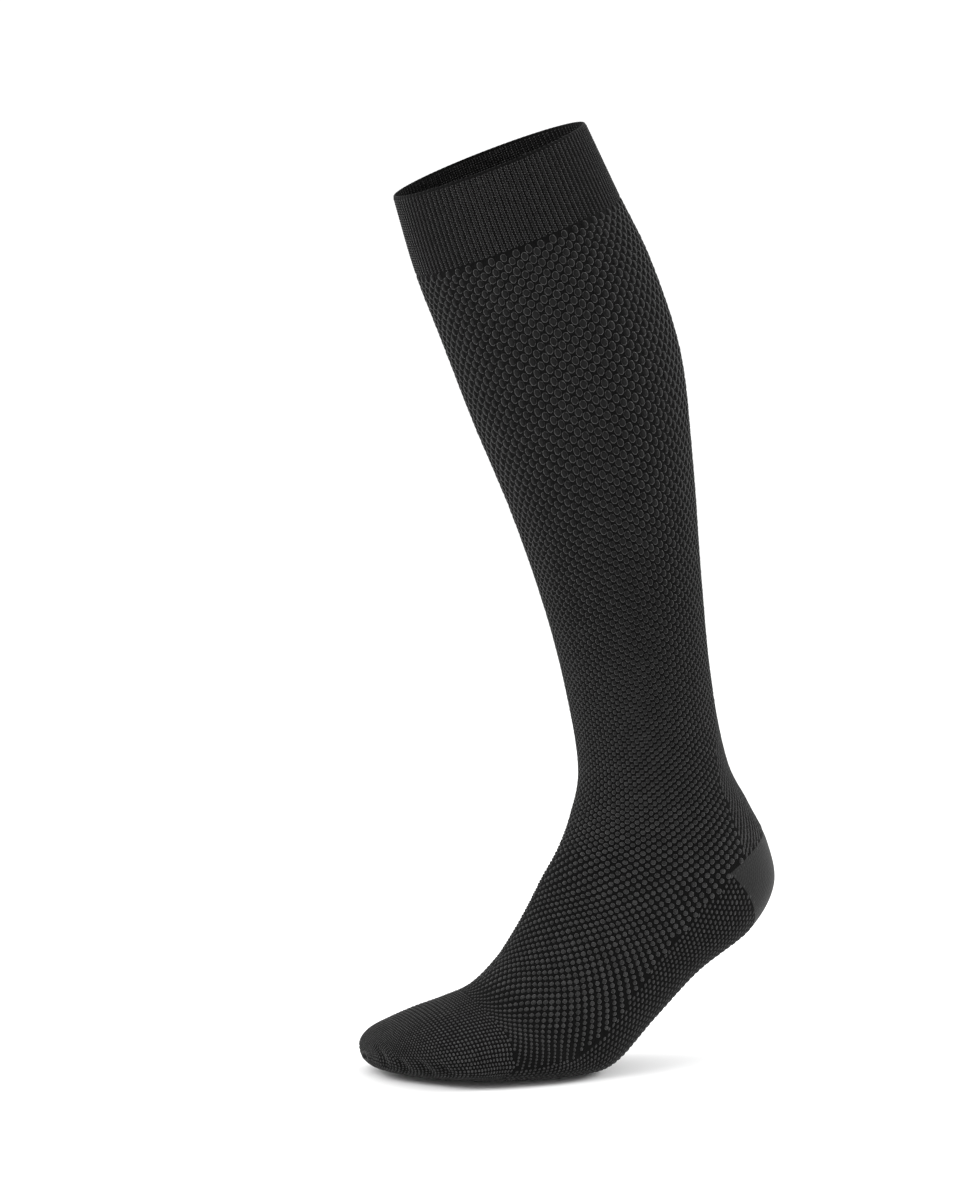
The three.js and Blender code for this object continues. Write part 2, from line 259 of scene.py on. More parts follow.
def plain_material(name, color, roughness):
    material = bpy.data.materials.new(name)
    material.use_nodes = True
    shader = material.node_tree.nodes["Principled BSDF"]
    shader.inputs["Base Color"].default_value = (*color, 1)
    shader.inputs["Roughness"].default_value = roughness
    return material


def mesh_object(name, points, faces):
    mesh = bpy.data.meshes.new(name)
    mesh.from_pydata([tuple(p) for p in points], [], faces)
    piece = bpy.data.objects.new(name, mesh)
    bpy.context.collection.objects.link(piece)
    return piece


corners = [(x * FLOOR_REACH, y * FLOOR_REACH) for x, y in ((-1, -1), (1, -1), (1, 1), (-1, 1))]
floor = mesh_object("studio_floor", [(x, y, FLOOR_Z) for x, y in corners], [(0, 1, 2, 3)])
floor.data.materials.append(plain_material("studio_floor", (0.92, 0.92, 0.92), 0.9))

world = bpy.data.worlds.new("studio")
world.use_nodes = True
backdrop = world.node_tree.nodes["Background"]
backdrop.inputs["Color"].default_value = (1, 1, 1, 1)
backdrop.inputs["Strength"].default_value = WORLD_STRENGTH
bpy.context.scene.world = world
bpy.context.scene.view_settings.view_transform = "Standard"


def area_light(name, place, size, energy):
    data = bpy.data.lights.new(name, "AREA")
    data.size = size
    data.energy = energy
    lamp = bpy.data.objects.new(name, data)
    lamp.location = place
    lamp.rotation_euler = (Vector(place) - AIM).to_track_quat("Z", "Y").to_euler()
    bpy.context.collection.objects.link(lamp)
    return lamp


area_light("toe_side_light", (0.9, -1.5, 1.1), 1.2, 20)
area_light("shin_side_light", (-0.5, -2.0, 0.7), 1.0, 22)
area_light("calf_side_light", (0.2, 2.0, 0.6), 1.0, 36)
print("floor and lights are in")

# %% [markdown]
# Shader maths reads best as plain sums. `Value` wraps one output of a node, so that
# `1 - ridge * 0.5` adds the Math nodes by itself. `Finish` is a material in the making, and its
# `node` method adds any other node.

# %% A small way to write shaders
class Value:
    def __init__(self, finish, socket):
        self.finish, self.socket = finish, socket

    def math(self, operation, first, second=None):
        inputs = {0: first} if second is None else {0: first, 1: second}
        return self.finish.node("ShaderNodeMath", {"operation": operation}, inputs)

    def __add__(self, other): return self.math("ADD", self, other)
    def __radd__(self, other): return self.math("ADD", other, self)
    def __sub__(self, other): return self.math("SUBTRACT", self, other)
    def __rsub__(self, other): return self.math("SUBTRACT", other, self)
    def __mul__(self, other): return self.math("MULTIPLY", self, other)
    def __rmul__(self, other): return self.math("MULTIPLY", other, self)
    def __truediv__(self, other): return self.math("DIVIDE", self, other)

    def sine(self): return self.math("SINE", self)
    def size(self): return self.math("ABSOLUTE", self)


class Finish:
    def __init__(self, name):
        self.material = bpy.data.materials.new(name)
        self.material.use_nodes = True
        self.tree = self.material.node_tree
        self.shader = self.tree.nodes["Principled BSDF"]

    def node(self, kind, settings=None, inputs=None, out=0):
        made = self.tree.nodes.new(kind)
        for key, value in (settings or {}).items():
            setattr(made, key, value)
        for key, value in (inputs or {}).items():
            if isinstance(value, Value):
                self.tree.links.new(value.socket, made.inputs[key])
            else:
                made.inputs[key].default_value = value
        return Value(self, made.outputs[out])

    def feed(self, socket, value):
        if isinstance(value, Value):
            self.tree.links.new(value.socket, self.shader.inputs[socket])
        else:
            self.shader.inputs[socket].default_value = value

    def place(self):
        return self.node("ShaderNodeTexCoord", None, None, out="Object")

    def blend(self, share, dark, light):
        inputs = {0: share, 6: (*dark, 1), 7: (*light, 1)}
        settings = {"data_type": "RGBA", "clamp_factor": True}
        return self.node("ShaderNodeMix", settings, inputs, out=2)

    def parts(self, vector):
        made = self.node("ShaderNodeSeparateXYZ", None, {0: vector})
        outputs = made.socket.node.outputs
        return [Value(self, outputs[k]) for k in range(3)]

    def attribute(self, name, out):
        return self.node("ShaderNodeAttribute", {"attribute_name": name}, None, out)

    def within(self, value):
        return self.node("ShaderNodeClamp", None, {0: value})

    def noise(self, scale, detail=2.0):
        inputs = {"Vector": self.place(), "Scale": scale, "Detail": detail}
        return self.node("ShaderNodeTexNoise", None, inputs, out=0)

    def bump(self, height, strength, distance):
        inputs = {"Height": height, "Strength": strength, "Distance": distance}
        self.feed("Normal", self.node("ShaderNodeBump", None, inputs, out="Normal"))


print("shader helpers ready")

# %% [markdown]
# The yarn is matt black elastic thread, which looks charcoal where light grazes it. One
# function makes every finish of it. The sunken ground between the cells is nearly black: the
# black yarn, darkened further with painted shade of the hollows. The raised yarn's loops show as
# fine ridges, and it carries painted shade on the rims of the cells and on the leg above the
# ankle. The toe cap's dots are a lighter copy with painted light. The heel is smooth jersey. A
# picture of knit would blur up close, so the loops are worked out. Each piece carries its own
# place on the cloth in an attribute, so that they follow the knit and not the world.

# %% The yarn finishes
SPECK_SCALE = 1500.0
CLOUD_SCALE = 45.0
# Shares of loops, specks and clouds in the tone of the yarn
LOOP_TONE, SPECK_TONE, CLOUD_TONE = 0.40, 0.45, 0.15
# Where the painted shade on the leg starts above the ankle, and the height it grows over, in
# metres
ANKLE_HEIGHT = -0.36
ANKLE_FADE = 0.14


def yarn(name, dark, light, loops, relief, sheen=0.10, gloss=0.15, crown=0.0, leg=0.0):
    """A knitted finish with a number of loops across and along each unit of its place.

    With a crown, painted shade makes the rim of each raised cell darker than its top, and no
    two are the same.
    `leg` is painted shade: how much darker the knit above the ankle is than on the lit foot.
    """
    finish = Finish(name)
    where = finish.attribute("knit_place", "Vector")
    across, along, _ = finish.parts(where)
    wale = across * loops[0] * PI
    bend = wale.sine().size()
    course = (along * loops[1] + bend * 0.5) * PI
    loop = bend * 0.6 + course.sine().size() * 0.4
    speck = (finish.noise(SPECK_SCALE) - 0.5) * 1.8 + 0.5
    cloud = finish.noise(CLOUD_SCALE)
    tone = loop * LOOP_TONE + speck * SPECK_TONE + cloud * CLOUD_TONE
    if crown:
        # Painted shade: darker towards each cell's rim; the tint beside it differs at random from
        # cell to cell.
        rim_shade = across * across + along * along
        tone = tone * (1 - rim_shade * crown) * (0.7 + finish.attribute("tint", "Fac") * 0.6)
    # Painted shade: the knit above the ankle is darkened against the foot, which lies more in the
    # light.
    if leg:
        height = finish.parts(finish.place())[2]
        tone = tone * (1 - finish.within((height - ANKLE_HEIGHT) / ANKLE_FADE) * leg)
    finish.feed("Base Color", finish.blend(tone, (dark,) * 3, (light,) * 3))
    finish.feed("Roughness", 0.9)
    finish.feed("Sheen Weight", sheen)
    finish.feed("Sheen Roughness", 0.35)
    finish.feed("Specular IOR Level", gloss)
    finish.bump(loop + speck * 0.5, 0.8, relief)
    return finish.material


# Nearly black: the black ground yarn, darkened further with painted shade of the hollows between
# the cells.
ground_finish = yarn("ground_knit", 0.001, 0.006, (900, 700), 0.00020, 0.03, 0.05)
# Painted shade: the crown shares darken the rims of the raised cells, bars and dots, and the leg
# share darkens the cells above the ankle.
cell_finish = yarn("cell_knit", 0.002, 0.044, (1.5, 1.2), 0.00018, 0.20, crown=0.5, leg=0.85)
cuff_finish = yarn("cuff_knit", 0.001, 0.008, (1.0, 1.0), 0.00010, 0.26, 0.08, crown=0.6)
# Nearly black: the cuff's black yarn, darkened further with painted shade in the grooves between
# the ribs.
cuff_ground_finish = yarn("cuff_ground_knit", 0.001, 0.004, (700, 800), 0.00015, 0.10, 0.08)
heel_finish = yarn("heel_knit", 0.002, 0.026, (700, 560), 0.00020)
dot_finish = yarn("fine_knit", 0.005, 0.046, (1.0, 1.0), 0.00008, 0.16, crown=0.5)
# Painted light: the toe cap's dots get a lighter copy of the fine knit, as the toe faces up into
# the lamps.
lit_toe_finish = yarn("toe_knit", 0.008, 0.060, (1.0, 1.0), 0.00008, 0.16, crown=0.4)
print("finishes:", len(bpy.data.materials))

# %% [markdown]
# A cloth piece is a closed wall under a millimetre thick. Solidify could thicken a single
# sheet, but then the two faces couldn't carry the same place on the cloth. So the wall is
# built from a grid of places: the grid once for the outside, once for the inside, and a rim
# that joins them. The knit cells stand on it, so it lies a little below the solid's surface.

# %% Building a cloth wall
CLOTH_LIFT = -0.45 * MM
CLOTH_THICK = 0.85 * MM


def faces_of(rows, columns, closed_rows, pole):
    """Quads of a closed wall on a grid, outer layer first. A pole needs no rim at its end."""
    ids = np.arange(rows * columns).reshape(rows, columns)
    ids[:closed_rows, -1] = ids[:closed_rows, 0]
    inner = ids + rows * columns
    faces = []

    def quad(*corner):
        kept = [c for k, c in enumerate(corner) if c != corner[k - 1]]
        if len(kept) > 2:
            faces.append(tuple(int(c) for c in kept))

    for i in range(rows - 1):
        for j in range(columns - 1):
            quad(ids[i, j], ids[i + 1, j], ids[i + 1, j + 1], ids[i, j + 1])
            quad(inner[i, j], inner[i, j + 1], inner[i + 1, j + 1], inner[i + 1, j])
        if i >= closed_rows - 1:
            quad(ids[i, 0], inner[i, 0], inner[i + 1, 0], ids[i + 1, 0])
            quad(ids[i, -1], ids[i + 1, -1], inner[i + 1, -1], inner[i, -1])
    for j in range(columns - 1):
        quad(ids[0, j], ids[0, j + 1], inner[0, j + 1], inner[0, j])
        if not pole:
            quad(ids[-1, j], inner[-1, j], inner[-1, j + 1], ids[-1, j + 1])
    return faces


def finish_mesh(piece, material, places=None, sharp=55):
    mesh = piece.data
    if places is not None:
        layer = mesh.attributes.new("knit_place", "FLOAT_VECTOR", "POINT")
        layer.data.foreach_set("vector", np.asarray(places, dtype=np.float32).ravel())
    mesh.materials.append(material)
    mesh.polygons.foreach_set("use_smooth", [True] * len(mesh.polygons))
    mesh.set_sharp_from_angle(angle=math.radians(sharp))
    mesh.validate()
    mesh.update()


def drop_loose(piece):
    """Removes the spare points that a closed ring leaves, and the doubles."""
    work = bmesh.new()
    work.from_mesh(piece.data)
    loose = [v for v in work.verts if not v.link_faces]
    bmesh.ops.delete(work, geom=loose, context="VERTS")
    bmesh.ops.remove_doubles(work, verts=work.verts, dist=1e-6)
    bmesh.ops.dissolve_degenerate(work, dist=1e-7, edges=work.edges)
    work.to_mesh(piece.data)
    work.free()


def cloth_wall(name, along, angle, closed_rows, material, sunk=None, pole=False):
    """A cloth wall over grids of the two counts."""
    rows, columns = along.shape
    points, out = skin(along, angle), outward(along, angle)
    depth = 0 if sunk is None else sunk[..., None]
    outer = points + out * (CLOTH_LIFT - depth)
    inner = points + out * (CLOTH_LIFT - CLOTH_THICK - depth)
    step_round = np.linalg.norm(np.diff(points, axis=1), axis=-1)
    step_down = np.linalg.norm(np.diff(points, axis=0), axis=-1)
    across = np.concatenate([np.zeros((rows, 1)), np.cumsum(step_round, 1)], 1)
    down = np.concatenate([np.zeros((1, columns)), np.cumsum(step_down, 0)], 0)
    place = np.stack([across, down, np.zeros_like(across)], -1).reshape(-1, 3)
    both = np.concatenate([outer.reshape(-1, 3), inner.reshape(-1, 3)])
    piece = mesh_object(name, both, faces_of(rows, columns, closed_rows, pole))
    layer = piece.data.attributes.new("knit_place", "FLOAT_VECTOR", "POINT")
    layer.data.foreach_set("vector", np.concatenate([place, place]).astype(np.float32).ravel())
    drop_loose(piece)
    finish_mesh(piece, material)
    return piece


def measure(piece):
    """The area of one side of a closed cloth wall, in square metres."""
    return sum(face.area for face in piece.data.polygons) / 2


print("wall builder ready")

# %% [markdown]
# The leg and the top of the foot are one piece of knit. It starts as a tube under the cuff,
# opens at the back where the heel pouch is let in, and runs on over the instep.

# %% The leg and instep cloth
LEG_COLUMNS = 96
LEG_ROWS = 80
HEEL_ROWS = 11
INSTEP_ROWS = 64


def leg_grid():
    """Grids of the two counts, and how many rows close to a ring."""
    rows = [(s, PI) for s in np.linspace(CUFF_END, HEEL_BACK_TOP, LEG_ROWS)]
    rows += [(heel_top(a), heel_angle(a)) for a in np.linspace(0, 1, HEEL_ROWS + 2)[1:-1]]
    rows += [(s, sole_edge(s)) for s in np.linspace(HEEL_APEX, EDGE_END, INSTEP_ROWS)]
    along = np.array([[s] * (LEG_COLUMNS + 1) for s, _ in rows])
    angle = np.array([np.linspace(-edge, edge, LEG_COLUMNS + 1) for _, edge in rows])
    foot = LEG_ROWS + HEEL_ROWS
    along[foot:] = instep_along(along[foot:], angle[foot:])
    return along, angle, LEG_ROWS


along, angle, closed = leg_grid()
leg_cloth = cloth_wall("leg_cloth", along, angle, closed, ground_finish)
print("leg cloth", round(measure(leg_cloth), 4), "square metres")

# %% [markdown]
# The heel pouch is plain jersey, smoother and paler than the rest. It is knitted to and fro, so
# its fine wales run down from the ankle seam and fan round to the sole seam.

# %% The heel, sole and toe cloth
def heel_grid():
    x = np.linspace(-1, 1, 61)[None, :]
    t = np.linspace(0, 1, 33)[:, None]
    top = heel_top(x)
    along = top + t * (heel_end(x) - top)
    angle = PI + x * (PI - HEEL_APEX_ANGLE) + 0 * t
    return along, angle


def sole_place(x, share):
    """A place on the sole, x from -1 to 1 between its edges and share from heel to toe."""
    edge_along = HEEL_APEX + share * (EDGE_END - HEEL_APEX)
    angle = PI + x * (PI - sole_edge(edge_along))
    last = PI + x * (PI - sole_edge(EDGE_END))
    top = heel_end(x)
    return top + share * (toe_line(last) - top), angle


# Share of the toe cap's length at which the cloth has closed over the tip
TOE_POLE = 1 + 1 / (TIP - TOE_LINE_MID)


def toe_place(angle, t):
    """The section count of a place on the toe cap, t from 0 at the toe line to 1 at the tip."""
    slant = TOE_LINE_SLANT * np.cos(angle) * (1 - t) ** 2
    return TOE_LINE_MID + t * (TIP - TOE_LINE_MID) - slant


heel_cloth = cloth_wall("heel_cloth", *heel_grid(), 0, heel_finish)
sole_x, sole_share = np.meshgrid(np.linspace(-1, 1, 61), np.linspace(0, 1, 90))
sole_cloth = cloth_wall("sole_cloth", *sole_place(sole_x, sole_share), 0, ground_finish)
# Rows as far as the last section, and a few more to close the tip
toe_rows = np.append(np.linspace(0, 1, 112), np.linspace(1, TOE_POLE, 9)[1:])
toe_angle, toe_t = np.meshgrid(np.linspace(0, 2 * PI, 121), toe_rows)
toe_along = toe_place(toe_angle, toe_t)
toe_along[-1] = TIP + 1
toe_cloth = cloth_wall(
    "toe_cloth", toe_along, toe_angle, 120, ground_finish, dip(toe_along, toe_angle), pole=True
)
for piece in (heel_cloth, sole_cloth, toe_cloth):
    print(piece.name, round(measure(piece), 4), "square metres")

# %% [markdown]
# The cuff is a doubled rib knit. Its profile, a fine wall with a rounded turned edge on top, is
# swept round the leg, and the ribs rise and fall on both faces of it.

# %% The cuff cloth
RIBS = 112
RIB_RISE = 0.22 * MM
CUFF_THICK = 1.0 * MM
CUFF_SUNK = 0.25 * MM
OUTER_FACE = 0.6 * MM  # a depth between the cuff's two faces
TURN = 0.035
CUFF_RADIUS = 0.052
SECTION_DOWN = 37 * MM


def cuff_profile():
    """Places down the cuff with a depth under the solid's surface, as a closed loop."""
    profile = [(s, CUFF_SUNK) for s in np.linspace(CUFF_END, TURN, 15)]
    for turn in np.linspace(0, PI, 7)[1:-1]:
        rise = TURN * (1 - math.sin(turn))
        profile.append((rise, CUFF_SUNK + CUFF_THICK * (1 - math.cos(turn)) / 2))
    profile += [(s, CUFF_SUNK + CUFF_THICK) for s in np.linspace(TURN, CUFF_END, 15)]
    return profile


def cuff_wall():
    profile = cuff_profile()
    angles = np.linspace(0, 2 * PI, RIBS * 4, endpoint=False)
    wave = np.cos(angles * RIBS) * RIB_RISE
    rings = []
    places = []
    for s, depth in profile:
        out = outward(np.full_like(angles, s), angles)
        lift = wave if depth < OUTER_FACE else -wave
        rings.append(skin(s, angles) + out * (lift - depth)[:, None])
        arc = angles * CUFF_RADIUS
        places.append(np.stack([arc, np.full_like(arc, s * SECTION_DOWN), arc * 0], -1))
    count, total = len(angles), len(profile)
    faces = []
    for i in range(total):
        for j in range(count):
            a, b = i * count, (i + 1) % total * count
            k = (j + 1) % count
            faces.append((a + j, a + k, b + k, b + j))
    piece = mesh_object("cuff_cloth", np.concatenate(rings), faces)
    finish_mesh(piece, cuff_ground_finish, np.concatenate(places), 80)
    return piece


cuff_cloth = cuff_wall()
print("cuff cloth", round(measure(cuff_cloth), 4), "square metres")

# %% [markdown]
# Compression knit has raised cells: small round pillows in staggered courses with dark ground
# between them. Each is the same shape laid thousands of times along the surface, which is what
# Geometry Nodes are for. The tree takes a cloud of points with their directions and sizes, puts
# a low dome on each with a little unevenness, and turns all of them into real mesh.

# %% The tree that lays the cells
DOME_POWER = 0.6  # below 1, a cell's top is flatter than a ball's


def cells_tree():
    tree = bpy.data.node_groups.new("knit_cells", "GeometryNodeTree")

    def named(name, kind, value=None):
        socket = tree.interface.new_socket(name=name, in_out="INPUT", socket_type=kind)
        if value is not None:
            socket.default_value = value

    named("Geometry", "NodeSocketGeometry")
    named("Sides", "NodeSocketInt", 8)
    named("Rings", "NodeSocketInt", 1)
    named("Crown", "NodeSocketFloat", 0.55)
    named("Unevenness", "NodeSocketFloat", 0.08)
    named("Seed", "NodeSocketInt", 1)
    named("Yarn", "NodeSocketMaterial")
    tree.interface.new_socket(
        name="Geometry", in_out="OUTPUT", socket_type="NodeSocketGeometry"
    )

    def put(kind, settings=None, inputs=None):
        made = tree.nodes.new(kind)
        for key, value in (settings or {}).items():
            setattr(made, key, value)
        for key, value in (inputs or {}).items():
            if isinstance(value, bpy.types.NodeSocket):
                tree.links.new(value, made.inputs[key])
            else:
                made.inputs[key].default_value = value
        return made

    given = put("NodeGroupInput").outputs
    stub = put("GeometryNodeMeshCone", {"fill_type": "NGON"}, {
        "Vertices": given["Sides"], "Side Segments": given["Rings"],
        "Radius Top": given["Crown"], "Radius Bottom": 1.0, "Depth": 1.0,
    })
    local = put("GeometryNodeInputPosition").outputs[0]
    flat = put("ShaderNodeVectorMath", {"operation": "MULTIPLY"}, {0: local, 1: (1, 1, 0)})
    far = put("ShaderNodeVectorMath", {"operation": "DOT_PRODUCT"}, {
        0: flat.outputs[0], 1: flat.outputs[0],
    })
    under = put("ShaderNodeMath", {"operation": "SUBTRACT", "use_clamp": True}, {
        0: 1.0, 1: far.outputs["Value"],
    })
    height = put("ShaderNodeMath", {"operation": "POWER"}, {0: under.outputs[0], 1: DOME_POWER})
    raised = put("ShaderNodeCombineXYZ", None, {"Z": height.outputs[0]})
    rounded = put("ShaderNodeVectorMath", {"operation": "ADD"}, {
        0: flat.outputs[0], 1: raised.outputs[0],
    })
    dome = put("GeometryNodeSetPosition", None, {
        "Geometry": stub.outputs["Mesh"], "Position": rounded.outputs[0],
    })
    marked = put("GeometryNodeStoreNamedAttribute", {
        "data_type": "FLOAT_VECTOR", "domain": "POINT",
    }, {"Geometry": dome.outputs[0], "Name": "knit_place", "Value": local})

    def field(name):
        settings = {"data_type": "FLOAT_VECTOR"}
        return put("GeometryNodeInputNamedAttribute", settings, {"Name": name}).outputs[0]

    turn = put("FunctionNodeAxesToRotation", {"primary_axis": "Z", "secondary_axis": "X"}, {
        "Primary Axis": field("outward"), "Secondary Axis": field("across"),
    })
    uneven = put("FunctionNodeRandomValue", {"data_type": "FLOAT_VECTOR"}, {
        "Min": (-1, -1, -1), "Max": (1, 1, 1), "Seed": given["Seed"],
    })
    scaled = put("ShaderNodeVectorMath", {"operation": "SCALE"}, {
        0: uneven.outputs[0], "Scale": given["Unevenness"],
    })
    factor = put("ShaderNodeVectorMath", {"operation": "ADD"}, {
        0: scaled.outputs[0], 1: (1, 1, 1),
    })
    size = put("ShaderNodeVectorMath", {"operation": "MULTIPLY"}, {
        0: field("cell_size"), 1: factor.outputs[0],
    })
    laid = put("GeometryNodeInstanceOnPoints", None, {
        "Points": given["Geometry"], "Instance": marked.outputs[0],
        "Rotation": turn.outputs[0], "Scale": size.outputs[0],
    })
    shade = put("FunctionNodeRandomValue", {"data_type": "FLOAT"}, {"Seed": given["Seed"]})
    tinted = put("GeometryNodeStoreNamedAttribute", {
        "data_type": "FLOAT", "domain": "INSTANCE",
    }, {"Geometry": laid.outputs[0], "Name": "tint", "Value": shade.outputs[1]})
    real = put("GeometryNodeRealizeInstances", None, {0: tinted.outputs[0]})
    smooth = put("GeometryNodeSetShadeSmooth", None, {0: real.outputs[0]})
    dyed = put("GeometryNodeSetMaterial", None, {
        "Geometry": smooth.outputs[0], "Material": given["Yarn"],
    })
    put("NodeGroupOutput", None, {0: dyed.outputs[0]})
    return tree


CELLS = cells_tree()


def lay_cells(name, spots, sides, rings, crown, unevenness, seed, material):
    """Raised cells on a list of (point, outward, across, size) arrays, as plain mesh."""
    points, out, across, size = (np.concatenate(part) for part in zip(*spots))
    cloud = mesh_object(name + "_points", points, [])
    for key, values in (("outward", out), ("across", across), ("cell_size", size)):
        layer = cloud.data.attributes.new(key, "FLOAT_VECTOR", "POINT")
        layer.data.foreach_set("vector", values.astype(np.float32).ravel())
    modifier = cloud.modifiers.new("knit_cells", "NODES")
    modifier.node_group = CELLS
    wanted = {
        "Sides": sides, "Rings": rings, "Crown": crown, "Unevenness": unevenness,
        "Seed": seed, "Yarn": material,
    }
    for item in CELLS.interface.items_tree:
        if item.in_out == "INPUT" and item.name in wanted:
            modifier[item.identifier] = wanted[item.name]
    bpy.context.view_layer.update()
    depsgraph = bpy.context.evaluated_depsgraph_get()
    mesh = bpy.data.meshes.new_from_object(cloud.evaluated_get(depsgraph))
    mesh.name = name
    piece = bpy.data.objects.new(name, mesh)
    bpy.context.collection.objects.link(piece)
    cloud_mesh = cloud.data
    bpy.data.objects.remove(cloud)
    bpy.data.meshes.remove(cloud_mesh)
    triangles = sum(len(face.vertices) - 2 for face in mesh.polygons)
    print(name, len(points), "cells,", triangles, "triangles")
    return piece


# %% [markdown]
# The courses are spaced as they are on the stocking: wide over the calf, close at the ankle,
# wide again where the knit stretches over the heel, and close at the toes. Past the ankle they
# lean, so that they come higher on the instep than at the sole. Every second course is moved
# half a cell sideways.

# %% The courses of the knit
HALF_WALES = 26
# Course counts, and millimetres from one course of cells to the next
COURSES = np.array([
    (1.0, 2.75), (1.7, 2.8), (2.4, 3.05), (3.6, 2.95), (4.5, 2.45), (5.3, 2.0), (6.0, 1.65),
    (7.0, 1.6), (8.3, 1.8), (9.4, 2.25), (10.5, 2.55), (11.4, 2.75), (12.8, 2.5), (13.8, 2.3),
    (14.8, 2.05), (16.0, 1.8),
])
SIDE = 0.42 * PI
# How far the courses lean, in sections, and where along the leg that starts and is full
LEAN, LEAN_FROM, LEAN_FULL = 0.75, 6.0, 11.5
TOP_REACH = 0.125
NUDGE = 0.01


def on_course(count, angle):
    """A place on the course that lies `count` sections down the back of the leg."""
    lean = LEAN * soft_step((count - LEAN_FROM) / (LEAN_FULL - LEAN_FROM))
    on_top = np.maximum(np.cos(angle) + TOP_REACH, 0) ** 2 / (1 + TOP_REACH)
    return count - lean * on_top, angle


def on_toe_course(count, angle):
    return toe_place(angle, count), angle


def spot(place, count, across):
    return skin(*place(count, across))


def arc_of(path):
    """How far along the cloth each point of a path lies from its first."""
    steps = np.linalg.norm(np.diff(path, axis=0), axis=1)
    return np.concatenate([[0], np.cumsum(steps)])


def course_counts(first, last, spacing):
    """Counts of the courses from first to last, spaced in millimetres at the side."""
    found = [first]
    while found[-1] < last:
        s = found[-1]
        rate = np.linalg.norm(skin(s + NUDGE, SIDE) - skin(s - NUDGE, SIDE)) / (2 * NUDGE)
        found.append(s + spacing(s) * MM / rate)
    found = np.array(found)
    return first + (found - first) * (last - first) / (found[-1] - first)


FIRST_COURSE = CUFF_END + 0.06
counts = course_counts(
    FIRST_COURSE, TOE_LINE_MID + TOE_LINE_SLANT,
    lambda s: np.interp(s, COURSES[:, 0], COURSES[:, 1])
)
count_steps = np.gradient(counts)
print(len(counts), "courses from the cuff to the toe line")

# %% [markdown]
# A cell needs its place, the direction square to the cloth, the direction of its course, and
# its size, which follows the distance to the courses on both sides of it.

# %% One course of cells
TALLEST = 8.0 * MM
CELL_SUNK = 0.08 * MM  # a cell's rim lies this deep in the cloth


def lay_course(place, count, across, step, width, tall, rise, sunk=0.0):
    """Points, directions and sizes of a course's cells.

    `step` is the count to the next course, and `tall` a cell's share of two courses.
    """
    along, angle = place(count, across)
    point, out = skin(along, angle), outward(along, angle)
    side = unit(spot(place, count, across + NUDGE) - spot(place, count, across - NUDGE))
    reach = spot(place, count + step, across) - spot(place, count - step, across)
    high = np.minimum(np.abs(np.sum(reach * np.cross(out, side), -1)), TALLEST)
    lift = np.reshape(CLOTH_LIFT - CELL_SUNK - sunk, (-1, 1))
    size = np.stack(np.broadcast_arrays(width / 2, tall * high / 2, rise), -1)
    return point + out * lift, out, side, size


def carried(point, path, arc):
    """Where a wale at this point crosses the next course, square to it."""
    near = np.clip(np.linalg.norm(path - point, axis=1).argmin(), 1, len(path) - 2)
    tangent = unit(path[near + 1] - path[near - 1])
    return arc[near] + np.dot(point - path[near], tangent)


def nearest_wale(line, pitch, wanted):
    """The wale closest to a wanted place, when there is one at this line."""
    return line + round((wanted - line) / pitch) * pitch


def wales_from(line, shift, pitch, last):
    """Wales at an even pitch on both sides of a line, from the middle of the foot outward."""
    wales = line + (np.arange(-60, 60) + shift) * pitch
    wales = wales[(wales > 0.3 * pitch) & (wales < last)]
    return np.append(0, wales) if wales[0] > 0.65 * pitch else wales


def both_sides(angles):
    """The same angles on the inner side of the leg too, without the two middles again."""
    return np.concatenate([angles, -angles[(angles > 1e-6) & (angles < PI - 1e-6)]])


# %% [markdown]
# On the leg the wales are the same all the way, so each course is shared out evenly. On the
# foot the wale halfway between the middle and the sole is carried to the next course, square
# to it, and the others lie beside it at a pitch that narrows to the toes, up to the toe line.
# The cells are taller than wide on the calf and round on the foot. From the ankle on, none is
# wider than its neighbour leaves room for.

# %% The raised cells
CELL_RISE = 0.135  # share of the pitch
# The cells are lower at the toes by this share, from one count over the next
TOE_FADE, FADE_FROM, FADE_OVER = 0.4, 13.6, 2.2
# Course counts, and a cell's width and height as shares of the pitch and of two courses
CELL_SHAPE = np.array([
    (1.0, 0.54, 0.80), (5.5, 0.54, 0.80), (7.0, 0.52, 0.76), (8.5, 0.51, 0.70),
    (9.8, 0.52, 0.58), (12.5, 0.55, 0.58), (15.8, 0.60, 0.62),
])
# From this count on, the largest cell as a share of the distance to its nearest neighbour
ROOM_FROM, ROOM = 6.6, 0.90
# Angle at which the wales of the foot are matched from course to course
INSTEP_LINE = 0.34 * PI
# Course counts on the foot, and millimetres from one wale of cells to the next
FOOT_PITCH = np.array([
    (9.6, 5.6), (10.4, 5.3), (11.4, 4.95), (12.8, 4.45), (13.8, 4.1), (14.8, 3.7), (16.0, 3.2),
])
# Edge of the fine knit behind the ankle: sections along, and angle over pi
ACHILLES = np.array([
    (5.9, 1.0), (6.3, 0.84), (6.8, 0.72), (7.4, 0.675), (7.9, 0.67), (8.3, 0.65), (8.8, 0.64),
    (9.2, 0.625), (9.6, 0.565),
])


def achilles_edge(along):
    return PI * np.interp(along, ACHILLES[:, 0], ACHILLES[:, 1], left=1.01)


def heel_across(angles):
    return (PI - angles) / (PI - HEEL_APEX_ANGLE)


def along_table(table, count):
    """The columns of a table at a course count."""
    return [np.interp(count, table[:, 0], column) for column in table.T[1:]]


def with_room(courses):
    """The same courses with each cell no wider or taller than the gap to its neighbour."""
    points = np.concatenate([part[0] for part in courses])
    tree = KDTree(len(points))
    for k, point in enumerate(points):
        tree.insert(point, k)
    tree.balance()
    fitted = []
    for point, out, side, size in courses:
        gap = np.array([tree.find_n(p, 2)[1][2] for p in point])
        widest = np.stack([gap * ROOM / 2, gap * ROOM / 2, size[:, 2]], -1)
        fitted.append((point, out, side, np.minimum(size, widest)))
    return fitted


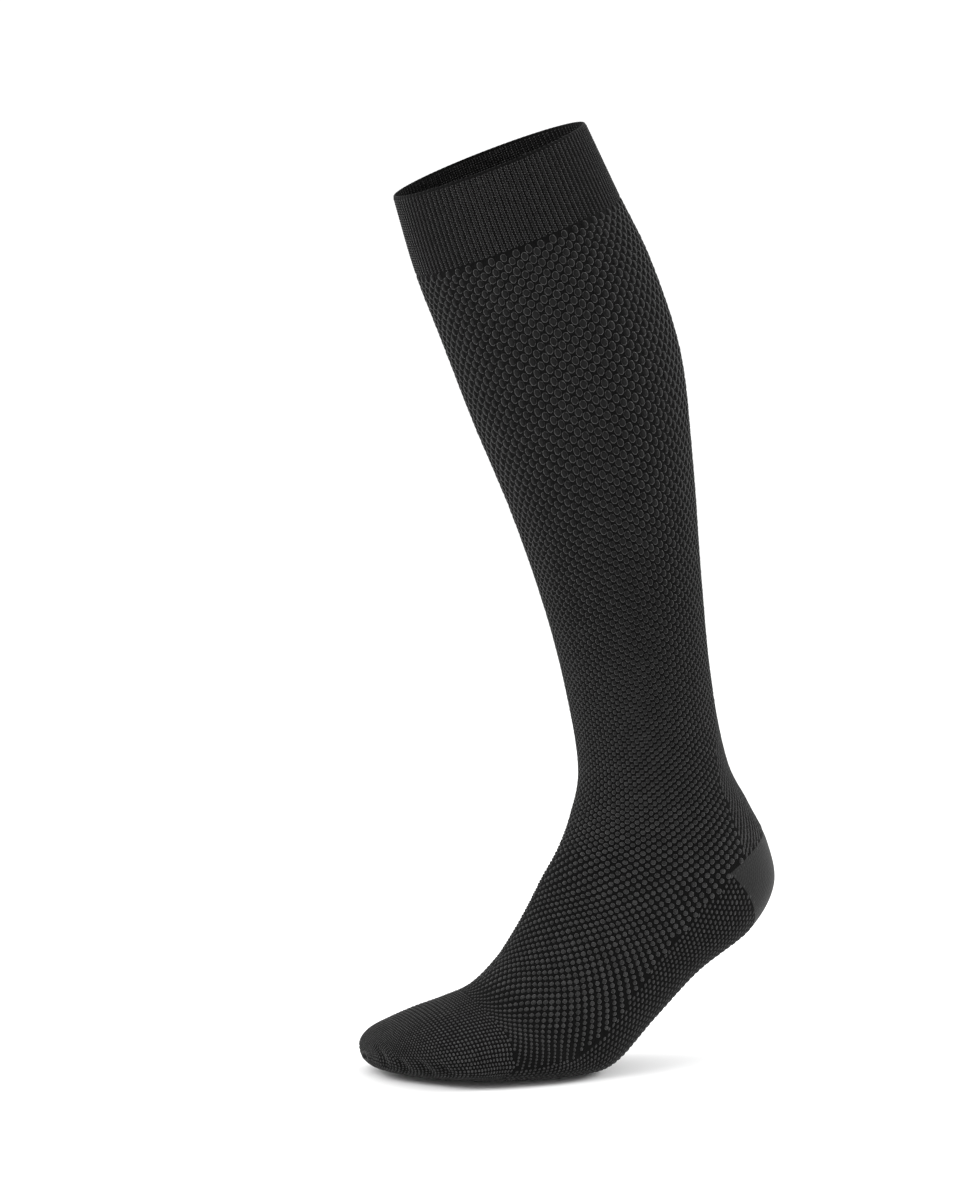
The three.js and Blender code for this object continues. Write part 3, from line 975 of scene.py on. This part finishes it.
def leg_courses():
    """Every course of cells from the cuff to the toe line, with its count."""
    spots = []
    fine = np.linspace(0, PI, 401)
    for number, (count, step) in enumerate(zip(counts, count_steps)):
        path = spot(on_course, count, fine)
        arc = arc_of(path)
        shift = 0.5 * (number % 2)
        if count <= HEEL_APEX:
            pitch = arc[-1] / HALF_WALES
            angles = np.interp(np.arange(shift, HALF_WALES + 0.1) * pitch, arc, fine)
            line = 0.0
            across = heel_across(angles)
            on_leg = (across > 1) | (count < heel_top(across) - 0.05)
            angles = angles[on_leg & (angles < achilles_edge(count))]
        else:
            pitch = along_table(FOOT_PITCH, count)[0] * MM
            edge = np.interp(sole_edge(count), fine, arc)
            line = carried(line_point, path, arc)
            wales = wales_from(line, shift, pitch, edge - 0.14 * pitch)
            angles = np.interp(wales, arc, fine)
            angles = angles[on_course(count, angles)[0] < toe_line(angles) - 0.03]
        line = nearest_wale(line, pitch, np.interp(INSTEP_LINE, fine, arc))
        line_point = spot(on_course, count, np.interp(line, arc, fine))
        fade = 1 - TOE_FADE * float(soft_step((count - FADE_FROM) / FADE_OVER))
        wide, tall = along_table(CELL_SHAPE, count)
        spots.append((count, lay_course(
            on_course, count, both_sides(angles), step, wide * pitch, tall,
            CELL_RISE * pitch * fade,
        )))
    return spots


courses = leg_courses()
CELL_STRETCHES = [
    # name, first and last course count, seed
    ("calf_cells", 0, 3.6, 3),
    ("shin_cells", 3.6, 6.6, 4),
    ("ankle_cells", 6.6, HEEL_APEX, 5),
    ("instep_cells", HEEL_APEX, TIP, 6),
]
leg_cells = []
for name, first, last, seed in CELL_STRETCHES:
    stretch = [spots for count, spots in courses if first < count <= last]
    stretch = with_room(stretch) if first >= ROOM_FROM else stretch
    leg_cells.append(lay_cells(name, stretch, 8, 2, 0.35, 0.08, seed, cell_finish))

# %% [markdown]
# Behind the ankle and under the foot the same courses have about twice as many wales, so the
# cells shrink to thin upright strokes. Smaller ones mark the edge of the heel pouch. On the sole
# one wale near the edge is carried along, as on the instep. The toe cap has a plain grid of
# small dots.

# %% Strokes behind the ankle and on the heel's edge
FINE_RISE = 0.38 * MM
HEEL_BORDER = 0.17  # sections
BORDER_FADE = 0.6


def double_wales(count, number):
    """Angles at twice the leg's wales, from the shin to the calf, and their pitch."""
    fine = np.linspace(0, PI, 161)
    arc = arc_of(spot(on_course, count, fine))
    pitch = arc[-1] / (2 * HALF_WALES)
    wales = np.arange(0.5 * (number % 2), 2 * HALF_WALES + 0.1) * pitch
    return np.interp(wales, arc, fine), pitch


def achilles_courses():
    """Strokes behind the ankle, down to the heel pouch."""
    spots = []
    for number, (count, step) in enumerate(zip(counts, count_steps)):
        if not ACHILLES[0, 0] < count < HEEL_APEX:
            continue
        angles, pitch = double_wales(count, number)
        on_leg = (angles > achilles_edge(count) + 0.01) & (
            count < heel_top(heel_across(angles)) - 0.03
        )
        turned = both_sides(angles[on_leg])
        spots.append(lay_course(
            on_course, count, turned, step, 0.58 * pitch, 0.80, FINE_RISE
        ))
    return spots


def heel_border():
    """Strokes inside the edge of the heel pouch, smaller and smaller away from its seams."""
    spots = []
    for number, (count, step) in enumerate(zip(counts, count_steps)):
        if not HEEL_BACK_TOP < count < HEEL_BACK_END:
            continue
        angles, pitch = double_wales(count, number)
        along, _ = on_course(count, angles)
        across = heel_across(angles)
        inside = np.minimum(along - heel_top(across), heel_end(across) - along)
        near = (inside > 0.02) & (inside < HEEL_BORDER) & (across < 0.99)
        turned = both_sides(angles[near])
        share = np.interp(np.abs(turned), angles, 1 - BORDER_FADE * inside / HEEL_BORDER)
        spots.append(lay_course(
            on_course, count, turned, step, 0.5 * pitch * share, 0.55 * share,
            0.5 * FINE_RISE * share,
        ))
    return spots


achilles_dots = lay_cells("achilles_dots", achilles_courses(), 8, 1, 0.5, 0.12, 15, dot_finish)
heel_dots = lay_cells("heel_border_dots", heel_border(), 6, 1, 0.5, 0.12, 17, dot_finish)

# %% Strokes on the sole
FINE_PITCH = 2.6 * MM
# Angle at which the wales of the sole are matched from course to course
SOLE_LINE = 0.63 * PI


def sole_courses():
    """Strokes from the heel pouch to the toe line, between the sole's edges."""
    spots = []
    fine = np.linspace(PI, 0.4 * PI, 301)
    line_point = None
    for number, (count, step) in enumerate(zip(counts, count_steps)):
        if count < HEEL_APEX:
            continue
        path = spot(on_course, count, fine)
        arc = arc_of(path)
        line = 0.0 if line_point is None else carried(line_point, path, arc)
        line = nearest_wale(line, FINE_PITCH, np.interp(-SOLE_LINE, -fine, arc))
        line_point = spot(on_course, count, np.interp(line, arc, fine))
        wales = wales_from(line, 0.5 * (number % 2), FINE_PITCH, arc[-1])
        angles = np.interp(wales, arc, fine)
        along, _ = on_course(count, angles)
        on_sole = (
            (angles > sole_edge(count) - 0.005) & (along < toe_line(angles) - 0.02)
            & (along > heel_end(heel_across(angles)) + 0.03)
        )
        turned = both_sides(angles[on_sole])
        spots.append(lay_course(
            on_course, count, turned, step, 0.54 * FINE_PITCH, 0.46, FINE_RISE
        ))
    return spots


sole_dots = lay_cells("sole_dots", sole_courses(), 8, 1, 0.5, 0.12, 7, dot_finish)

# %% Dots on the toe cap
TOE_WALES = 96
TOE_ROW = 1.85 * MM
# Where the rows start and end, as shares of the cap's length
TOE_FIRST, TOE_LAST = 0.006, TOE_POLE - 0.06
# At the tip there are fewer wales, once they are closer than the first of these
CLOSEST, TIP_PITCH = 1.4 * MM, 2 * MM


def toe_wales(around):
    """How many wales go round the toe cap where it is this far round."""
    if around / TOE_WALES > CLOSEST:
        return TOE_WALES
    return max(6, round(around / TIP_PITCH))


def toe_courses():
    """Rows of dots from the toe line over the tip, sunk in the creases with the cloth."""
    spots = []
    count = TOE_FIRST
    fine = np.linspace(0, 2 * PI, 321)
    while count < TOE_LAST:
        arc = arc_of(spot(on_toe_course, count, fine))
        wales = toe_wales(arc[-1])
        angles = np.interp((np.arange(wales) + 0.5) / wales * arc[-1], arc, fine)
        along, _ = on_toe_course(count, angles)
        rate = np.linalg.norm(
            spot(on_toe_course, count + NUDGE, SIDE) - spot(on_toe_course, count, SIDE)
        ) / NUDGE
        step = TOE_ROW / rate
        spots.append(lay_course(
            on_toe_course, count, angles, step, 0.72 * arc[-1] / wales, 0.37, FINE_RISE,
            dip(along, angles),
        ))
        count += step
    return spots


# The toe's dots wear the lighter copy of the fine knit, with painted light.
toe_dots = lay_cells("toe_dots", toe_courses(), 6, 1, 0.5, 0.12, 9, lit_toe_finish)

# %% [markdown]
# Up close the cuff's ribs are short bars of yarn, one above the other, with a dark groove
# between the ribs: black yarn darkened further with painted shade, and each bar has painted shade
# on its rim. The same bars show on its inside where the opening lets the eye in.

# %% The cuff stitches
BAR_TILT = 0.22
BAR_ROWS = 31
BAR_WIDE, BAR_RISE = 2.2 * MM, 0.40 * MM
OUTER_LIFT = 0.38 * MM
INNER_LIFT = -CUFF_SUNK - CUFF_THICK + RIB_RISE + 0.28 * MM


def level_course(count, angle):
    return count + 0 * angle, angle


def cuff_bars(inside):
    """Rows of bars down one face of the cuff, one bar to a rib."""
    spots = []
    rows = np.linspace(0.05, CUFF_END - 0.03, BAR_ROWS)
    for number, count in enumerate(rows):
        angles = (np.arange(RIBS) + 0.03 * (-1) ** number) * 2 * PI / RIBS
        point, out, side, size = lay_course(
            level_course, count, angles, rows[1] - rows[0], BAR_WIDE, 0.40, BAR_RISE
        )
        side = unit(side + BAR_TILT * np.cross(out, side))
        if inside:
            point = point + out * INNER_LIFT
            out = -out
        else:
            point = point + out * OUTER_LIFT
        spots.append((point, out, side, size))
    return spots


cuff_outer_bars = lay_cells("cuff_outer_bars", cuff_bars(False), 6, 1, 0.6, 0.10, 11, cuff_finish)
cuff_inner_bars = lay_cells("cuff_inner_bars", cuff_bars(True), 6, 1, 0.6, 0.10, 13, cuff_finish)

# %% [markdown]
# Every piece rides on the one body, and the solids of the CAD model that it stands for are
# hidden. The cloth walls' areas, printed when they are built, are measured on the cloth itself,
# so they follow from the sections. The cloth walls are sheets with the size they open out to.
# Their flat area is measured on the cloth itself, so it follows from the sections and doesn't
# test them.

# %% Tie the pieces to the frame
PIECES = [
    # piece, nodes, slot
    (cuff_cloth, ["cuff_band"], "cuff_knit"),
    (cuff_outer_bars, ["cuff_band"], "cuff_knit"),
    (cuff_inner_bars, ["cuff_band"], "cuff_knit"),
    (leg_cloth, ["leg_tube", "instep_panel"], "cell_knit"),
    *[(cells, ["leg_tube"], "cell_knit") for cells in leg_cells[:3]],
    (leg_cells[3], ["instep_panel"], "cell_knit"),
    (achilles_dots, ["leg_tube"], "cell_knit"),
    (heel_cloth, ["heel_pouch"], "heel_knit"),
    (heel_dots, ["heel_pouch"], "heel_knit"),
    (sole_cloth, ["sole_panel"], "sole_knit"),
    (sole_dots, ["sole_panel"], "sole_knit"),
    (toe_cloth, ["toe_cap"], "toe_knit"),
    (toe_dots, ["toe_cap"], "toe_knit"),
]
for piece, nodes, slot_name in PIECES:
    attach(piece, "root")
    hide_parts(*nodes)
